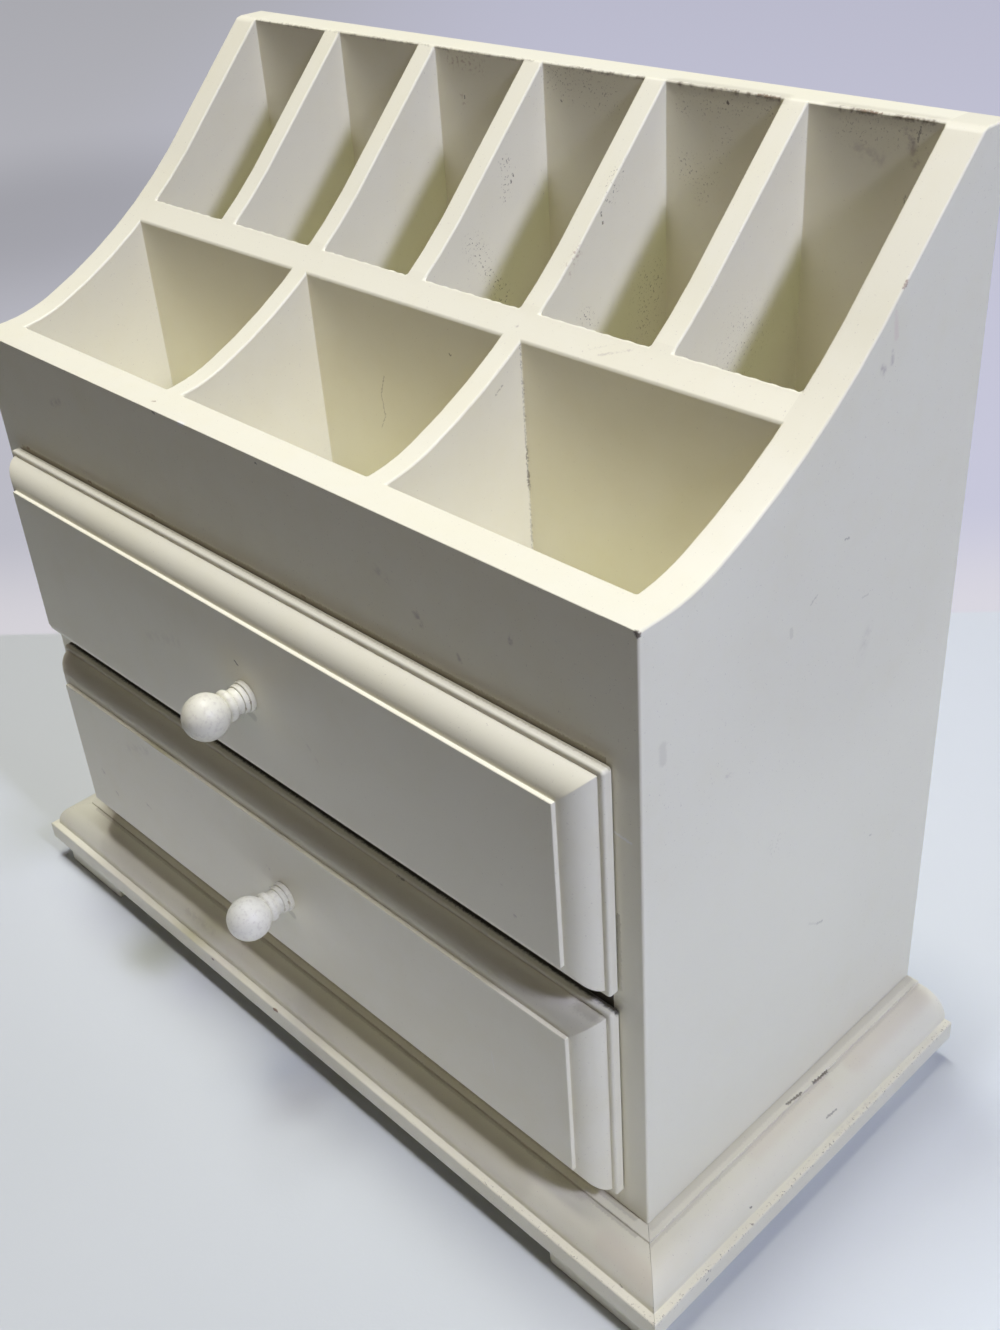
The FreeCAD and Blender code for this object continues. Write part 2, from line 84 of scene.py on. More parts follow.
def mesh_piece(name, points, faces):
    """A closed piece from points in millimetres, its faces turned outwards."""
    mesh = bpy.data.meshes.new(name)
    mesh.from_pydata([Vector(point) * MM for point in points], [], faces)
    work = bmesh.new()
    work.from_mesh(mesh)
    bmesh.ops.recalc_face_normals(work, faces=work.faces)
    work.to_mesh(mesh)
    work.free()
    piece = bpy.data.objects.new(name, mesh)
    bpy.context.scene.collection.objects.link(piece)
    return piece


def loft(name, rings):
    """A skin through rings of equal length, with its two ends filled."""
    count = len(rings[0])
    points = [point for ring in rings for point in ring]
    faces = [[row * count + index, row * count + (index + 1) % count,
              (row + 1) * count + (index + 1) % count, (row + 1) * count + index]
             for row in range(len(rings) - 1) for index in range(count)]
    faces += [list(range(count))[::-1], list(range(len(points) - count, len(points)))]
    return mesh_piece(name, points, faces)


def block(name, x, y, z):
    """A box from its three ranges."""
    ring = [(x[0], y[0]), (x[1], y[0]), (x[1], y[1]), (x[0], y[1])]
    return loft(name, [[(*corner, level) for corner in ring] for level in z])


def settle(piece):
    """Make the piece's modifiers part of its mesh."""
    ready = piece.evaluated_get(bpy.context.evaluated_depsgraph_get())
    mesh = bpy.data.meshes.new_from_object(ready)
    piece.modifiers.clear()
    piece.data = mesh


def joinery(piece, tool, operation):
    """Cut the piece with the tool, or join the two."""
    step = piece.modifiers.new("joint", "BOOLEAN")
    step.operation, step.object, step.solver = operation, tool, "MANIFOLD"
    settle(piece)


def cells(count, y):
    """Equal compartments between the sides, as (x, y) ranges."""
    width = (2 * SIDE_IN - (count - 1) * DIVIDER) / count
    starts = [index * (width + DIVIDER) - SIDE_IN for index in range(count)]
    return [((start, start + width), y) for start in starts]


SCOOP = [Vector((FACE_Y, CASE_BOTTOM)), Vector((FACE_Y, RIM_Z)),
         *walk((FACE_Y + TOE_FLAT, RIM_Z), 0, [TOE_BEND, SCOOP_BEND]),
         Vector((BACK_IN, CREST_Z)), Vector((BACK_OUT, CREST_Z)), Vector((BACK_OUT, CASE_BOTTOM))]
case = loft("case", [[(x, *point) for point in SCOOP] for x in (-SIDE_OUT, SIDE_OUT)])
FRONT_CELLS = cells(3, (FRONT_BOARD_IN, ROW_FRONT))
REAR_CELLS = cells(6, (ROW_BACK, BACK_IN))
hollows = [(x, y, (TRAY_FLOOR, OVER)) for x, y in FRONT_CELLS + REAR_CELLS]
hollows += [((-SIDE_IN, SIDE_IN), (FACE_Y - CLEAR, BACK_IN), bay) for bay in BAYS]
for hollow in hollows:
    tool = block("hollow", *hollow)
    joinery(case, tool, "DIFFERENCE")
    bpy.data.objects.remove(tool)

work = bmesh.new()
work.from_mesh(case.data)
bmesh.ops.dissolve_limit(work, angle_limit=math.radians(0.5), verts=work.verts, edges=work.edges)
weight = work.edges.layers.float.new("bevel_weight_edge")
for edge in work.edges:
    if edge.calc_face_angle(0) > math.radians(30):
        middle = (edge.verts[0].co + edge.verts[1].co) / 2 / MM
        at_back = abs(middle.y - BACK_IN) < 1
        if at_back and abs(middle.x) > SIDE_IN and middle.z > CREST_FOOT:
            edge[weight] = 1.0
        elif edge.is_convex:
            edge[weight] = PAINT_ROUND / CREST_RUN
        elif middle.z > TRAY_FLOOR - 1:
            thin = at_back or abs(middle.y - ROW_FRONT) < 1
            edge[weight] = (THIN_FILLET if thin else PAINT_FILLET) / CREST_RUN
work.to_mesh(case.data)
work.free()
paint_body = case.modifiers.new("paint", "BEVEL")
paint_body.limit_method, paint_body.width, paint_body.segments = "WEIGHT", CREST_RUN * MM, 4
settle(case)

# Where the painted body parts into its boards, in this order: (board, x, y, z).
WIDE, HIGH = (-SIDE_IN, SIDE_IN), (0, OVER)
BEFORE, DEEP = -AROUND_CASE, (-AROUND_CASE, AROUND_CASE)
IN_LOWER_BAY, IN_UPPER_BAY = 80, 170
JOINTS = [
    ("side_panel_left", (-AROUND_CASE, -SIDE_IN), DEEP, HIGH),
    ("side_panel_right", (SIDE_IN, AROUND_CASE), DEEP, HIGH),
    ("bottom_panel", WIDE, (BEFORE, BACK_IN), (0, IN_LOWER_BAY)),
    ("middle_shelf", WIDE, (BEFORE, BACK_IN), (IN_LOWER_BAY, IN_UPPER_BAY)),
    ("tray_floor", WIDE, (FRONT_BOARD_IN, BACK_IN), (IN_UPPER_BAY, TRAY_FLOOR + PAINT_FILLET)),
    ("tray_front_panel", WIDE, (BEFORE, FRONT_BOARD_IN + PAINT_FILLET), HIGH),
    ("back_panel", WIDE, (BACK_IN - PAINT_FILLET, AROUND_CASE), HIGH),
    ("row_divider", WIDE, (ROW_FRONT - PAINT_FILLET, ROW_BACK + PAINT_FILLET), HIGH),
]
DIVIDER_SLACK = 5
for prefix, row in (("front", FRONT_CELLS), ("rear", REAR_CELLS)):
    for index, ((x, y), (after, _)) in enumerate(zip(row, row[1:]), start=1):
        across = (x[1] - DIVIDER_SLACK, after[0] + DIVIDER_SLACK)
        JOINTS.append((f"{prefix}_divider_{index}", across, y, HIGH))


# Degrees from which an edge stays sharp on moulded and on turned pieces.
MOULDED, TURNED = 32, 50


def shade(piece, sharp=40):
    """Rounded edges look round and flat faces stay flat; sharp is in degrees."""
    piece.data.polygons.foreach_set("use_smooth", [True] * len(piece.data.polygons))
    piece.data.set_sharp_from_angle(angle=math.radians(sharp))
    normals = piece.modifiers.new("flat faces", "WEIGHTED_NORMAL")
    normals.keep_sharp = True


class Value:
    """A socket in a finish. Arithmetic on it adds Math nodes."""

    def __init__(self, finish, socket):
        self.finish, self.socket = finish, socket

    def maths(self, operation, *values, clamp=False):
        return self.finish.node("ShaderNodeMath", {"operation": operation, "use_clamp": clamp},
                                dict(enumerate(values)))

    def __add__(self, other):
        return self.maths("ADD", self, other)

    def __sub__(self, other):
        return self.maths("SUBTRACT", self, other)

    def __mul__(self, other):
        return self.maths("MULTIPLY", self, other)

    __radd__, __rmul__ = __add__, __mul__


class Finish:
    """One finish as it is mixed: its nodes, and the place on the piece, in metres."""

    def __init__(self, name):
        self.material = bpy.data.materials.new(name)
        self.material.use_nodes = True
        self.tree = self.material.node_tree
        self.surface = self.tree.nodes["Principled BSDF"]
        self.place = self.node("ShaderNodeTexCoord", out="Object")

    def node(self, kind, settings=None, inputs=None, out=0):
        new = self.tree.nodes.new(kind)
        for name, value in (settings or {}).items():
            setattr(new, name, value)
        self.fill(new, inputs or {})
        return Value(self, new.outputs[out])

    def fill(self, node, inputs):
        for name, value in inputs.items():
            if isinstance(value, Value):
                self.tree.links.new(value.socket, node.inputs[name])
            else:
                node.inputs[name].default_value = value

    def vector(self, operation, *values, out=0):
        return self.node("ShaderNodeVectorMath", {"operation": operation},
                         dict(enumerate(values)), out)

    def noise(self, per_metre, detail, stretch=(1, 1, 1), offset=(0, 0, 0), out=0):
        """Cloudy variation; stretch draws it out along the axes that it makes small."""
        where = self.vector("MULTIPLY_ADD", self.place, stretch, offset)
        return self.node("ShaderNodeTexNoise", None, {
            "Vector": where, "Scale": per_metre, "Detail": detail, "Roughness": 0.55}, out)

    def between(self, value, low, high, start=0.0, end=1.0):
        """A smooth rise from start to end while value goes from low to high."""
        return self.node("ShaderNodeMapRange", {"interpolation_type": "SMOOTHSTEP"}, {
            "Value": value, "From Min": low, "From Max": high, "To Min": start, "To Max": end})

    def over(self, mask, under, colour):
        """colour laid over another colour where the mask is 1."""
        sides = [side if isinstance(side, Value) else (*side, 1) for side in (under, colour)]
        return self.node("ShaderNodeMix", {"data_type": "RGBA"},
                         {0: mask, 6: sides[0], 7: sides[1]}, 2)

    def bump(self, height, depth):
        """A relief: height 0 to 1 is depth millimetres."""
        return self.node("ShaderNodeBump", None, {
            "Strength": 1.0, "Distance": depth * MM, "Height": height})


# The paint, where it has yellowed, and both again in a lighter copy, painted light, for the rear
# row of the tray and the back; then what shows through it or lies on it, and painted shade and
# light.
ENAMEL = (0.885, 0.857, 0.705)
YELLOWED = (0.855, 0.815, 0.625)
REAR_ROW_LIT_TINTS = (0.91, 0.883, 0.728), (0.885, 0.846, 0.65)
CHIP = (0.27, 0.15, 0.08)
# Grime, and also painted shade in gaps and creases and a knob's painted shadow.
GRIME_AND_SHADE = (0.11, 0.085, 0.055)
# Soiled paint, and also painted shade under the drawers and on the knobs' unlit side.
SOILED_AND_SHADE = (0.46, 0.42, 0.33)
AGED = (0.80, 0.71, 0.58)
# Painted shade where the upper drawer's lip meets the case.
LIP_SHADE = (0.36, 0.32, 0.21)
# Painted shade, nearly black, in the gap between the drawers.
GAP_SHADE = (0.05, 0.042, 0.026)
RUST = (0.42, 0.29, 0.22)
# Smudges and dust, and also painted shade on the knobs' unlit side.
SMUDGE_AND_SHADE = (0.42, 0.36, 0.33)
ROUGED = (0.72, 0.5, 0.48)
SPECKS = (0.13, 0.085, 0.05)
DIRT = (0.16, 0.125, 0.08)
FRESH = (0.93, 0.92, 0.86)
# Painted light: a lighter cream for lit edges, lips and the lit foot of the right side.
PAINTED_LIGHT = (0.94, 0.915, 0.75)
# Marks that are broken up: noise per metre, and the levels between which the mark comes in.
BROKEN = {
    SMUDGE_AND_SHADE: (420, 0.36, 0.66),
    SPECKS: (1300, 0.60, 0.69),
    DIRT: (330, 0.40, 0.62),
    RUST: (800, 0.5, 0.7),
}
# How far a mark's outline wanders, in metres, and the share of a whole mark that is full colour.
WANDER, FULL_CORE = 0.0014, 0.4


def enamel(name, run, marks=(), tints=(ENAMEL, YELLOWED), worn=0.0):
    """Brushed cream enamel: clouded, a little rippled along the run of the brush, with pinholes,
    handled darker where worn, and with this piece's own marks: (colour, start, end, radius,
    strength), millimetres."""
    paint = Finish(name)
    # The coat: patches that have yellowed, pinholes and dust, and dirt from hands.
    cloud = paint.noise(9, 3)
    blotch = paint.noise(70, 3, offset=(3, 1, 2))
    colour = paint.over(paint.between(cloud * 0.6 + blotch * 0.4, 0.42, 0.66, 0, 0.5), *tints)
    dust = paint.noise(1500, 1, offset=(5, 5, 5))
    colour = paint.over(paint.between(dust, 0.71, 0.78, 0, 0.35), colour, SMUDGE_AND_SHADE)
    if worn:
        mottle = paint.noise(700, 5, offset=(8, 3, 1))
        colour = paint.over(paint.between(mottle, 0.48, 0.70, 0, worn), colour, SMUDGE_AND_SHADE)
    # Its surface: ripples from the brush and a fine peel.
    ripple = paint.noise(420, 2, stretch=run, offset=(1, 7, 3))
    peel = paint.noise(650, 2, offset=(2, 2, 9))
    relief = ripple * 0.6 + peel * 0.4
    # The marks: each is a strip with a wandering outline, and those of one colour lie together.
    if marks:
        wobble = paint.noise(1300, 2, out=1)
        around = paint.vector("MULTIPLY_ADD", wobble, (WANDER,) * 3, paint.place)
        around = paint.vector("SUBTRACT", around, (WANDER / 2,) * 3)
    masks = {}
    for tint, start, end, radius, strength in marks:
        start, end = Vector(start) * MM, Vector(end) * MM
        length = end - start
        away = paint.vector("SUBTRACT", around, tuple(start))
        if length.length > 0:
            per_length = tuple(length / length.length_squared)
            along = paint.vector("DOT_PRODUCT", away, per_length, out=1)
            nearest = paint.node("ShaderNodeVectorMath", {"operation": "SCALE"}, {
                0: tuple(length), "Scale": along.maths("ADD", along, 0.0, clamp=True)})
            away = paint.vector("SUBTRACT", away, nearest)
        core = 0 if tint in BROKEN else FULL_CORE
        distance = paint.vector("LENGTH", away, out=1)
        mask = paint.between(distance, radius * core * MM, radius * MM, strength, 0)
        masks[tint] = mask.maths("MAXIMUM", masks[tint], mask) if tint in masks else mask
    for tint, mask in masks.items():
        if tint in BROKEN:
            per_metre, low, high = BROKEN[tint]
            mask = mask * paint.between(paint.noise(per_metre, 2, offset=(6, 2, 4)), low, high)
        colour = paint.over(mask, colour, tint)
        if tint == CHIP:
            relief = relief - mask
    paint.fill(paint.surface, {
        "Base Color": colour, "Roughness": 0.36 + 0.16 * blotch,
        "Normal": paint.bump(relief, 0.02), "IOR": 1.5, "Coat Weight": 0.0})
    return paint.material


def blob(place, radii):
    """A small rounded drop; its rows run from top degrees below its middle to as far above."""
    rows, steps, top = 7, 10, 86
    rings = []
    for row in range(rows):
        tilt = math.radians(-top + 2 * top * row / (rows - 1))
        turns = [math.tau * step / steps for step in range(steps)]
        rings.append([(place[0] + radii[0] * math.cos(tilt) * math.cos(turn),
                       place[1] + radii[1] * math.cos(tilt) * math.sin(turn),
                       place[2] + radii[2] * math.sin(tilt)) for turn in turns])
    return loft("drop", rings)


BRUSHED_X, BRUSHED_Y, BRUSHED_Z = (0.08, 1, 1), (1, 0.08, 1), (1, 1, 0.08)
CASE_RUN = {"side_panel_left": BRUSHED_Z, "side_panel_right": BRUSHED_Z}
UPPER_LIP_Z = 212.6
# The sides that three of the rear dividers show towards the right.
WALL_3, WALL_4, WALL_5 = 4.2, 56.67, 109.1
CASE_MARKS = {
    "tray_front_panel": [
        # A dark strip just over the upper drawer's lip: painted shade.
        (LIP_SHADE, (-154.8, FACE_Y, UPPER_LIP_Z), (154.8, FACE_Y, UPPER_LIP_Z), 1.7, 0.6),
        (CHIP, (-149, FACE_Y, 213.6), (-147.5, FACE_Y, 213.8), 0.8, 0.7),
        (CHIP, (-104, FACE_Y, 213.5), (-102, FACE_Y, 213.3), 0.6, 0.7),
        (CHIP, (-62, FACE_Y, 213.6), (-60, FACE_Y, 213.4), 0.7, 0.6),
        (CHIP, (24, FACE_Y, 213.4), (25.5, FACE_Y, 213.4), 0.6, 0.6),
        (GRIME_AND_SHADE, (10.2, FACE_Y, 255.4), (10.6, FACE_Y, 255.2), 0.6, 0.7),
        (CHIP, (-52.2, -52, RIM_Z), (-51.4, -51.6, RIM_Z), 0.6, 0.6),
        (GRIME_AND_SHADE, (-46.1, FACE_Y, 256.7), (-45.2, FACE_Y, 256.5), 0.6, 0.6),
        (FRESH, (-31, -55.9, 257), (-28.6, -55.9, 257), 1.1, 0.9),
        (SMUDGE_AND_SHADE, (64, FACE_Y, 238), (70, FACE_Y, 236), 2.2, 0.4),
        (SMUDGE_AND_SHADE, (80, FACE_Y, 229.5), (82, FACE_Y, 226.5), 2.2, 0.6),
        (SMUDGE_AND_SHADE, (119.5, FACE_Y, 237.5), (119.2, FACE_Y, 235), 1.4, 0.6),
        (SMUDGE_AND_SHADE, (97, FACE_Y, 222), (98, FACE_Y, 220.5), 1.4, 0.5),
        (SMUDGE_AND_SHADE, (-118, FACE_Y, 240), (-112, FACE_Y, 243), 2.6, 0.3),
    ],
    "row_divider": [
        (GRIME_AND_SHADE, (57.0, 13.6, 284), (56.8, 13.6, 246), 0.4, 0.4),
        (GRIME_AND_SHADE, (57.0, 13.6, 248), (56.9, 13.6, 234), 0.55, 0.75),
        (GRIME_AND_SHADE, (56.9, 13.6, 234), (56.8, 13.6, 208), 0.4, 0.35),
        (SMUDGE_AND_SHADE, (86, 16.5, 284.5), (96, 20.5, 287.2), 0.6, 0.45),
        (SMUDGE_AND_SHADE, (82, 17.5, 285), (89, 20.5, 287.2), 0.5, 0.35),
        (SMUDGE_AND_SHADE, (50.5, 17, 284.8), (52, 17.6, 285.2), 0.8, 0.6),
        (GRIME_AND_SHADE, (-11.6, 14, 254), (-14.2, 14, 247), 0.3, 0.4),
        (GRIME_AND_SHADE, (-14.2, 14, 247), (-13.2, 14, 239), 0.3, 0.4),
        (GRIME_AND_SHADE, (-13.2, 14, 239), (-16, 14, 234), 0.3, 0.35),
        (GRIME_AND_SHADE, (23.5, 14, 270.5), (24, 14, 270.3), 0.5, 0.6),
    ],
    "front_divider_2": [
        (GRIME_AND_SHADE, (56.9, 2.4, 269.5), (56.9, 5.4, 271.4), 0.5, 0.4),
    ],
    "back_panel": [
        (DIRT, (62, BACK_IN, 344), (99, BACK_IN, 344), 1.3, 1.0),
        (DIRT, (120, BACK_IN, 344), (150, BACK_IN, 344), 1.3, 1.0),
        (DIRT, (14, BACK_IN, 344), (48, BACK_IN, 344), 1.1, 0.7),
        (DIRT, (-150, BACK_IN, 344), (0, BACK_IN, 344), 0.9, 0.5),
        (CHIP, (91, 81.7, 344.1), (99, 81.6, 344.0), 0.5, 0.8),
        (CHIP, (127, 81.7, 344.1), (133, 81.7, 344.0), 0.5, 0.8),
        (SOILED_AND_SHADE, (60, BACK_IN, 345), (99, BACK_IN, 345), 5, 0.3),
        (SOILED_AND_SHADE, (118, BACK_IN, 345), (150, BACK_IN, 345), 5, 0.3),
        (SPECKS, (64, BACK_IN, 338), (98, BACK_IN, 341), 7, 0.35),
        (SPECKS, (72, BACK_IN, 312), (80, BACK_IN, 332), 6, 0.4),
        (SPECKS, (122, BACK_IN, 339), (146, BACK_IN, 340), 7, 0.35),
        (SPECKS, (8, BACK_IN, 340), (34, BACK_IN, 336), 9, 0.5),
        (SPECKS, (64, BACK_IN, 320), (72, BACK_IN, 316), 8, 0.5),
        (GRIME_AND_SHADE, (12.2, BACK_IN, 333.5), (12.3, BACK_IN, 333), 0.45, 0.7),
        (GRIME_AND_SHADE, (-34.6, BACK_IN, 329.2), (-34.5, BACK_IN, 328.6), 0.45, 0.7),
        (GRIME_AND_SHADE, (145.6, BACK_IN, 342), (145.2, BACK_IN, 338.5), 0.4, 0.55),
        (GRIME_AND_SHADE, (142.5, BACK_IN, 323.6), (142.4, BACK_IN, 321.6), 0.35, 0.4),
        (GRIME_AND_SHADE, (107.9, BACK_IN, 268.8), (107.9, BACK_IN, 268.2), 0.5, 0.8),
        (RUST, (-40, BACK_IN, 341), (-26, BACK_IN, 340), 5, 0.5),
        (RUST, (-36, BACK_IN, 329), (-35, BACK_IN, 327), 3, 0.4),
        (SMUDGE_AND_SHADE, (145, BACK_IN, 333), (142, BACK_IN, 340), 2.4, 0.7),
        (SMUDGE_AND_SHADE, (126, BACK_IN, 334), (134, BACK_IN, 332), 3.0, 0.3),
        (GRIME_AND_SHADE, (28.8, BACK_IN, 296.7), (29.2, BACK_IN, 296.3), 0.6, 0.8),
        (GRIME_AND_SHADE, (54.4, BACK_IN, 285.8), (54.9, BACK_IN, 285.4), 0.6, 0.8),
        (GRIME_AND_SHADE, (80.4, BACK_IN, 341.0), (80.8, BACK_IN, 340.4), 0.5, 0.8),
    ],
    "side_panel_right": [
        (GRIME_AND_SHADE, (164.2, FACE_Y, 256.9), (164.6, -56, 256.3), 1.2, 0.9),
        (FRESH, (155.5, FACE_Y, 189.9), (161.2, FACE_Y, 189.2), 0.6, 1.0),
        # A dark line beside the upper drawer's right edge: painted shade in the gap.
        (GRIME_AND_SHADE, (155.7, FACE_Y, 131), (155.7, FACE_Y, 160), 1.0, 0.6),
        (CHIP, (SIDE_OUT, 48.4, 311.6), (SIDE_OUT, 49.9, 313.3), 0.7, 0.7),
        (ROUGED, (164, 45.5, 306), (164.6, 46.7, 299), 1.6, 0.25),
        (SMUDGE_AND_SHADE, (SIDE_OUT, 41.2, 291.8), (SIDE_OUT, 42.6, 290.2), 2.0, 0.6),
        (SMUDGE_AND_SHADE, (SIDE_OUT, 45.5, 295), (SIDE_OUT, 45.6, 292), 1.4, 0.5),
        (GRIME_AND_SHADE, (SIDE_OUT, 29.3, 245.9), (SIDE_OUT, 31.3, 245.5), 0.5, 0.45),
        (GRIME_AND_SHADE, (SIDE_OUT, 14.6, 231.6), (SIDE_OUT, 17.6, 233.4), 0.4, 0.25),
        (GRIME_AND_SHADE, (SIDE_OUT, 40.4, 222), (SIDE_OUT, 43.4, 221.8), 0.4, 0.2),
        (SOILED_AND_SHADE, (SIDE_OUT, 6.2, 227.6), (SIDE_OUT, 6.5, 225.4), 1.3, 0.35),
        (SOILED_AND_SHADE, (SIDE_OUT, 45, 210), (SIDE_OUT, 42, 200), 6, 0.14),
        (SMUDGE_AND_SHADE, (SIDE_OUT, 45, 208.4), (SIDE_OUT, 43, 203), 3.0, 0.2),
        (SOILED_AND_SHADE, (SIDE_OUT, -47.7, 218.5), (SIDE_OUT, -47.6, 213.5), 2.0, 0.22),
        (SMUDGE_AND_SHADE, (SIDE_OUT, -20.8, 193.1), (SIDE_OUT, -18, 192), 1.2, 0.4),
        (SPECKS, (SIDE_OUT, 3.3, 154.5), (SIDE_OUT, 3.7, 149.2), 4.5, 0.5),
        (GRIME_AND_SHADE, (SIDE_OUT, 56.3, 122.6), (SIDE_OUT, 57.4, 122.4), 0.5, 0.3),
        (SOILED_AND_SHADE, (SIDE_OUT, 24.4, 105.4), (SIDE_OUT, 29.0, 102.3), 0.6, 0.4),
        (GRIME_AND_SHADE, (SIDE_OUT, 29.0, 102.3), (SIDE_OUT, 31.9, 101.4), 0.7, 0.55),
        # A broad lighter patch low at the front and a broad darker one high at the back: painted
        # light and painted shade across the side.
        (PAINTED_LIGHT, (SIDE_OUT, -35, 60), (SIDE_OUT, -25, 100), 105, 0.6),
        (SOILED_AND_SHADE, (SIDE_OUT, 45, 240), (SIDE_OUT, 70, 300), 95, 0.12),
        (SOILED_AND_SHADE, (SIDE_OUT, -54, 30.1), (SIDE_OUT, 90, 30.1), 2.2, 0.3),
        (CHIP, (SIDE_OUT, 22, 30.2), (SIDE_OUT, 38, 30.2), 0.5, 0.5),
        (CHIP, (152.9, 23.6, 288.6), (152.9, 24.3, 289), 0.6, 0.8),
    ],
    "bottom_panel": [(DIRT, (-SIDE_IN, FACE_Y, 30.3), (SIDE_IN, FACE_Y, 30.3), 2.0, 0.5)],
    # The shelf's front edge, seen in the gap between the drawers, painted nearly black: painted
    # shade.
    "middle_shelf": [(GAP_SHADE, (-SIDE_IN, FACE_Y, 126), (SIDE_IN, FACE_Y, 126), 14, 0.96)],
    "rear_divider_3": [
        (SPECKS, (WALL_3, 44.6, 294.4), (WALL_3, 57.5, 272.8), 6, 0.8),
        (SPECKS, (WALL_3, 61.8, 317), (WALL_3, 61, 306), 4, 0.8),
        (GRIME_AND_SHADE, (WALL_3, 65, 312.4), (WALL_3, 65.2, 311.6), 0.5, 0.8),
        (GRIME_AND_SHADE, (WALL_3, 64, 310.4), (WALL_3, 64.1, 309.9), 0.45, 0.8),
    ],
    "rear_divider_4": [
        (SPECKS, (WALL_4, 74, 284), (WALL_4, 70, 272), 12, 0.6),
        (SPECKS, (WALL_4, 59.4, 321.3), (WALL_4, 55, 316), 5, 0.8),
        (SPECKS, (WALL_4, 42, 282.4), (WALL_4, 46, 276), 5, 0.8),
        (GRIME_AND_SHADE, (WALL_4, 51, 312), (WALL_4, 51.3, 311), 0.5, 0.8),
        (GRIME_AND_SHADE, (WALL_4, 51.6, 309), (WALL_4, 51.6, 308.5), 0.45, 0.8),
        (RUST, (WALL_4, 35.5, 298), (WALL_4, 40, 303.5), 3.5, 0.6),
    ],
    "rear_divider_5": [(SPECKS, (WALL_5, 56, 285), (WALL_5, 42, 268), 16, 0.5)],
}
RIDGE_Z, PAINT_NIBS = 288.35, 7
for name, x, y, z in JOINTS:
    tool = block("tool", x, y, z)
    board = case.copy()
    board.data = case.data.copy()
    board.name = f"painted_{name}"
    bpy.context.scene.collection.objects.link(board)
    joinery(board, tool, "INTERSECT")
    joinery(case, tool, "DIFFERENCE")
    bpy.data.objects.remove(tool)
    if name == "row_divider":
        # Thick paint has crept over the rear edge and dried there in shallow scallops.
        for number, (x, _) in enumerate(REAR_CELLS):
            chance = random.Random(number)
            for nib in range(PAINT_NIBS):
                across = x[0] + (x[1] - x[0]) * (nib + chance.uniform(0.3, 0.7)) / PAINT_NIBS
                size = chance.uniform(0.5, 1.2)
                drop = blob((across, ROW_BACK + 0.1, RIDGE_Z - 0.6 * size),
                            (chance.uniform(1.8, 3.2), 0.3 + 0.9 * size, 0.6 * size))
                joinery(board, drop, "UNION")
                bpy.data.objects.remove(drop)
    shade(board)
    board.data.materials.clear()
    run = CASE_RUN.get(name, BRUSHED_Y if "_divider_" in name else BRUSHED_X)
    # The rear dividers and the back take a lighter copy of the paint: painted light.
    painted_paler = name.startswith("rear_") or name == "back_panel"
    tints = REAR_ROW_LIT_TINTS if painted_paler else (ENAMEL, YELLOWED)
    board.data.materials.append(enamel(f"enamel_{name}", run, CASE_MARKS.get(name, ()), tints))
    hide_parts(name)
    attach(board, "cabinet")
bpy.data.objects.remove(case)


# ---- the base frame ----------------------------------------------------------------------
# Three lengths of moulded board, mitred at the front corners and glued under the case: a thin
# fillet against the case, a quarter round, a ledge and a nose rounded underneath.

FLOOR_GAP = 8.5


def bow(start, end, radius, hand, pieces):
    """Points along an arc from start to end, bulging to the right for hand 1."""
    start, end = Vector(start), Vector(end)
    chord = end - start
    across = Vector((chord.y, -chord.x)).normalized()
    rise = math.sqrt(max(radius ** 2 - chord.length_squared / 4, 0))
    centre = (start + end) / 2 - hand * across * rise
    turn = 2 * math.asin(min(1, chord.length / 2 / radius)) * hand
    first = start - centre
    points = []
    for step in range(pieces + 1):
        angle = turn * step / pieces
        points.append(centre + Vector((first.x * math.cos(angle) - first.y * math.sin(angle),
                                       first.x * math.sin(angle) + first.y * math.cos(angle))))
    return points


